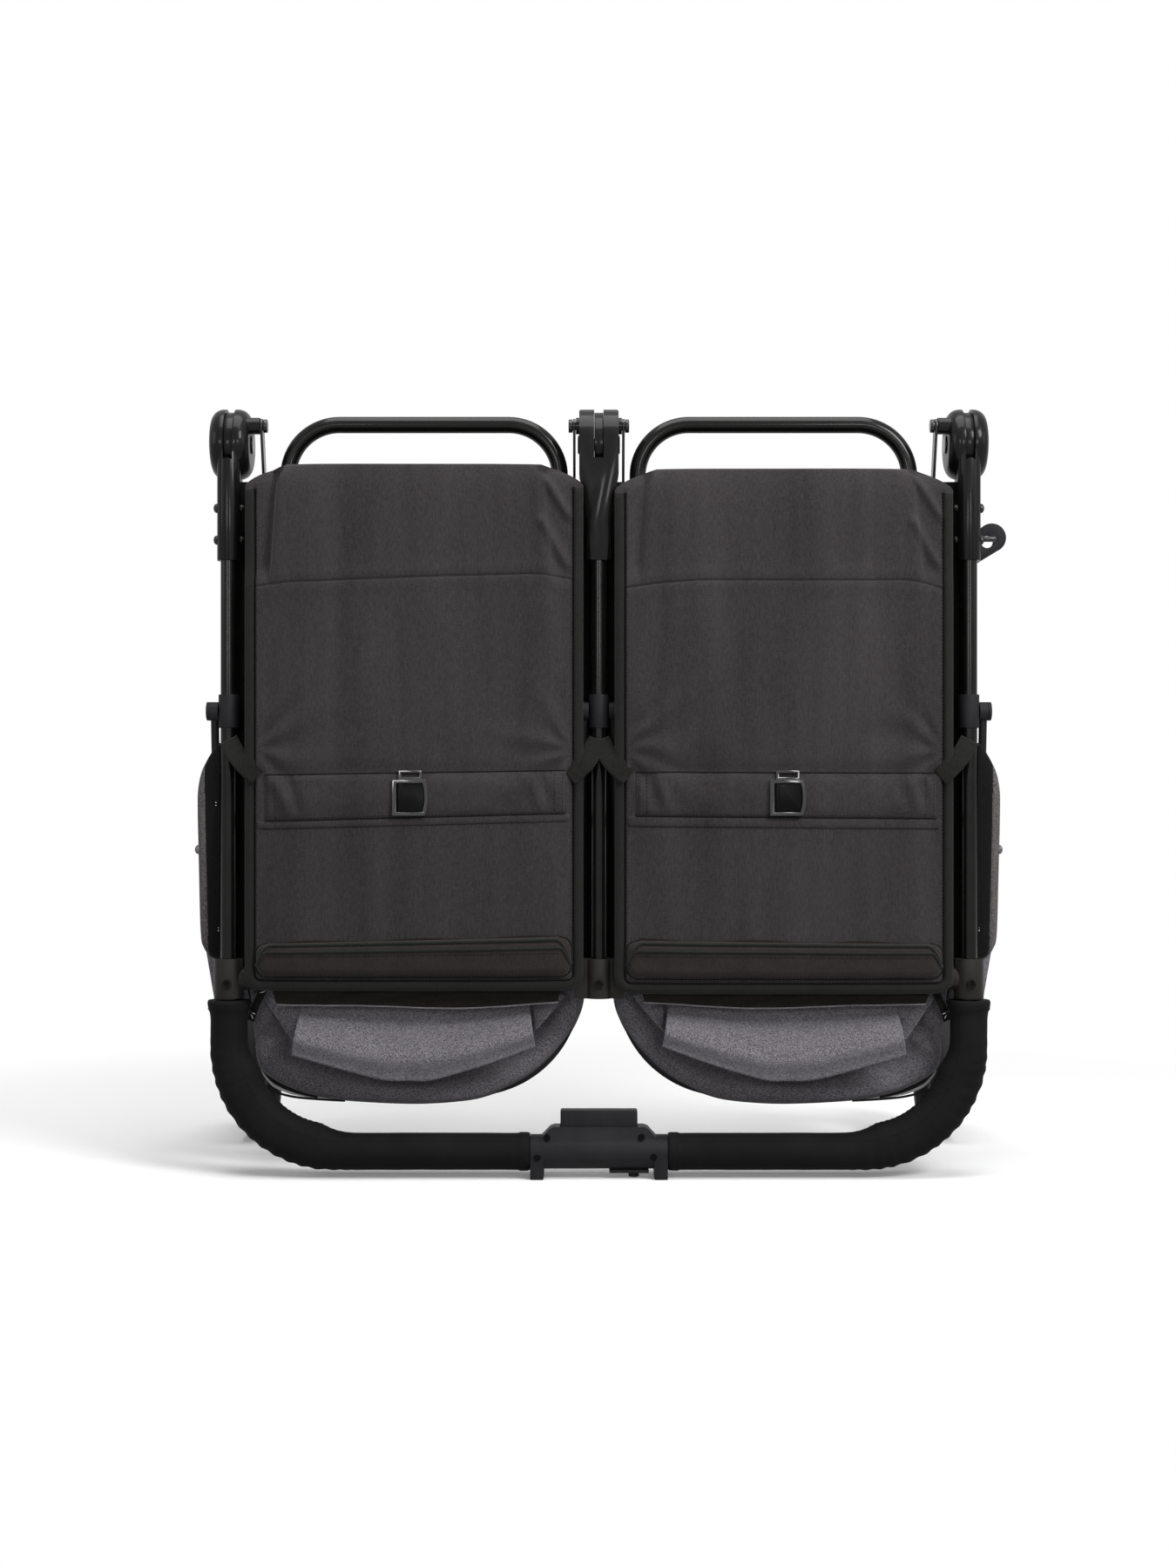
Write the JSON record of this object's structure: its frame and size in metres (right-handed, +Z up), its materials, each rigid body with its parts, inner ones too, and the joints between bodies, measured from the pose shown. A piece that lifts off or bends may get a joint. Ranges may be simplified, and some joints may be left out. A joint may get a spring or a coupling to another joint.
{
  "type": "side by side double stroller",
  "caption": "Folding side-by-side double stroller, folded and standing on its handlebar: black tube frame, dark seat backs, bunched grey canopies; frame, seats, canopies and wheels move",
  "frame": {"origin": "centre of the base of the folded stroller, on the floor it stands on", "axes": "+X across the two seats, to the right of the picture; +Y away from the camera, from the push tubes towards the rear wheels; +Z up"},
  "size_m": [0.7843, 0.386, 0.743],
  "materials": {
    "frame_black": "gloss black paint",
    "hinge_black": "moulded plastic, semi-gloss",
    "plastic_black": "moulded plastic, fine grain",
    "bracket_grey": "moulded plastic, satin",
    "steel": "zinc-plated",
    "buckle_black": "polished plastic",
    "tyre": "foamed rubber",
    "sleeve": "stitched leatherette",
    "seat_cloth": "plain woven polyester",
    "webbing": "flat woven webbing",
    "canopy_cloth": "heather melange weave"
  },
  "bodies": {
    "chassis": {"leg_heads": "hinge_black", "front_leg_left": "frame_black", "front_leg_center": "frame_black", "front_leg_right": "frame_black", "foot_bar": "frame_black", "castor_housings": "plastic_black"},
    "push_frame": {"knuckles": "hinge_black", "hinge_pins": "steel", "push_tube_left": "frame_black", "push_tube_center": "frame_black", "push_tube_right": "frame_black", "canopy_collars": "plastic_black", "handle_brackets": "bracket_grey", "push_cross_tube": "frame_black", "handle_tube": "frame_black", "handle_sleeve_left": "sleeve", "handle_sleeve_right": "sleeve", "fold_housing": "plastic_black", "seat_flap_left": "seat_cloth", "seat_flap_right": "seat_cloth"},
    "seats": {"seat_hoop_left": "frame_black", "seat_hoop_right": "frame_black", "seat_hangers": "steel", "seat_cushion_left": "seat_cloth", "seat_cushion_right": "seat_cloth"},
    "rear_frame": {"rear_leg_left": "frame_black", "rear_leg_right": "frame_black", "rear_cross_tube": "frame_black", "rear_housings": "plastic_black", "rear_axles": "steel"},
    "transport_latch": {"transport_latch": "plastic_black"},
    "brake_pedal": {"brake_pedal": "plastic_black"},
    "fold_trigger": {"fold_trigger": "plastic_black"},
    "lock_slider": {"lock_slider": "plastic_black"},
    "canopy_left": {"canopy_bow_left": "plastic_black", "canopy_cover_left": "canopy_cloth"},
    "canopy_right": {"canopy_bow_right": "plastic_black", "canopy_cover_right": "canopy_cloth"},
    "backrest_left": {"backrest_left": "seat_cloth", "recline_straps_left": "webbing", "recline_buckle_left": "buckle_black"},
    "buckle_lever_left": {"buckle_lever_left": "buckle_black"},
    "backrest_right": {"backrest_right": "seat_cloth", "recline_straps_right": "webbing", "recline_buckle_right": "buckle_black"},
    "buckle_lever_right": {"buckle_lever_right": "buckle_black"},
    "castor_left": {"castor_fork_left": "plastic_black"},
    "front_wheel_left": {"front_hub_left": "plastic_black", "front_tyre_left": "tyre"},
    "castor_center": {"castor_fork_center": "plastic_black"},
    "front_wheel_center": {"front_hub_center": "plastic_black", "front_tyre_center": "tyre"},
    "castor_right": {"castor_fork_right": "plastic_black"},
    "front_wheel_right": {"front_hub_right": "plastic_black", "front_tyre_right": "tyre"},
    "rear_wheel_left": {"rear_hub_left": "plastic_black", "rear_tyre_left": "tyre"},
    "rear_wheel_right": {"rear_hub_right": "plastic_black", "rear_tyre_right": "tyre"}
  },
  "joints": [
    {"name": "fold", "type": "hinge", "parent": "chassis", "child": "push_frame", "pos_m": [0, -0.131, 0.709], "axis": [-1, 0, 0], "range_deg": [0, 182]},
    {"name": "seat_tilt", "type": "hinge", "parent": "push_frame", "child": "seats", "pos_m": [0, -0.145, 0.725], "axis": [1, 0, 0], "range_deg": [0, 110]},
    {"name": "rear_frame_swing", "type": "hinge", "parent": "chassis", "child": "rear_frame", "pos_m": [0, -0.0715, 0.56], "axis": [1, 0, 0], "range_deg": [0, 71.5]},
    {"name": "canopy_left_swing", "type": "hinge", "parent": "push_frame", "child": "canopy_left", "pos_m": [0, -0.152, 0.449], "axis": [1, 0, 0], "range_deg": [0, 95]},
    {"name": "canopy_right_swing", "type": "hinge", "parent": "push_frame", "child": "canopy_right", "pos_m": [0, -0.152, 0.449], "axis": [1, 0, 0], "range_deg": [0, 95]},
    {"name": "backrest_left_recline", "type": "hinge", "parent": "push_frame", "child": "backrest_left", "pos_m": [-0.1765, -0.187, 0.576], "axis": [-1, 0, 0], "range_deg": [0, 32]},
    {"name": "buckle_left_lever", "type": "hinge", "parent": "backrest_left", "child": "buckle_lever_left", "pos_m": [-0.1891, -0.1901, 0.366], "axis": [0, 0, -1], "range_deg": [0, 35], "stiffness_Nm_per_rad": 0.02},
    {"name": "backrest_right_recline", "type": "hinge", "parent": "push_frame", "child": "backrest_right", "pos_m": [0.1765, -0.187, 0.576], "axis": [-1, 0, 0], "range_deg": [0, 32]},
    {"name": "buckle_right_lever", "type": "hinge", "parent": "backrest_right", "child": "buckle_lever_right", "pos_m": [0.1689, -0.1901, 0.366], "axis": [0, 0, -1], "range_deg": [0, 35], "stiffness_Nm_per_rad": 0.02},
    {"name": "castor_left_swivel", "type": "hinge", "parent": "chassis", "child": "castor_left", "pos_m": [-0.3565, -0.094, 0.285], "axis": [0, -0.5736, 0.8192], "continuous": true},
    {"name": "front_wheel_left_spin", "type": "hinge", "parent": "castor_left", "child": "front_wheel_left", "pos_m": [-0.3565, -0.02829, 0.22602], "axis": [1, 0, 0], "continuous": true},
    {"name": "castor_center_swivel", "type": "hinge", "parent": "chassis", "child": "castor_center", "pos_m": [0, -0.094, 0.285], "axis": [0, -0.5736, 0.8192], "continuous": true},
    {"name": "front_wheel_center_spin", "type": "hinge", "parent": "castor_center", "child": "front_wheel_center", "pos_m": [0, -0.02829, 0.22602], "axis": [1, 0, 0], "continuous": true},
    {"name": "castor_right_swivel", "type": "hinge", "parent": "chassis", "child": "castor_right", "pos_m": [0.3565, -0.094, 0.285], "axis": [0, -0.5736, 0.8192], "continuous": true},
    {"name": "front_wheel_right_spin", "type": "hinge", "parent": "castor_right", "child": "front_wheel_right", "pos_m": [0.3565, -0.02829, 0.22602], "axis": [1, 0, 0], "continuous": true},
    {"name": "rear_wheel_left_spin", "type": "hinge", "parent": "rear_frame", "child": "rear_wheel_left", "pos_m": [-0.365, 0.1181, 0.075], "axis": [1, 0, 0], "continuous": true},
    {"name": "rear_wheel_right_spin", "type": "hinge", "parent": "rear_frame", "child": "rear_wheel_right", "pos_m": [0.365, 0.1181, 0.075], "axis": [1, 0, 0], "continuous": true},
    {"name": "brake_press", "type": "hinge", "parent": "rear_frame", "child": "brake_pedal", "pos_m": [0.306, 0.1201, 0.105], "axis": [-1, 0, 0], "range_deg": [0, 20]},
    {"name": "latch_turn", "type": "hinge", "parent": "chassis", "child": "transport_latch", "pos_m": [0.36, -0.1255, 0.598], "axis": [0, 1, 0], "range_deg": [0, 60]},
    {"name": "trigger_press", "type": "slide", "parent": "push_frame", "child": "fold_trigger", "axis": [0, 0, -1], "range_m": [0, 0.008], "stiffness_N_per_m": 400},
    {"name": "lock_slide", "type": "slide", "parent": "push_frame", "child": "lock_slider", "axis": [-1, 0, 0], "range_m": [0, 0.01]}
  ],
  "couplings": [
    {"joint": "seat_tilt", "follows": "fold", "ratio": 0.6044},
    {"joint": "rear_frame_swing", "follows": "fold", "ratio": 0.39286},
    {"joint": "canopy_left_swing", "follows": "fold", "ratio": 0.52198},
    {"joint": "canopy_right_swing", "follows": "fold", "ratio": 0.52198}
  ]
}
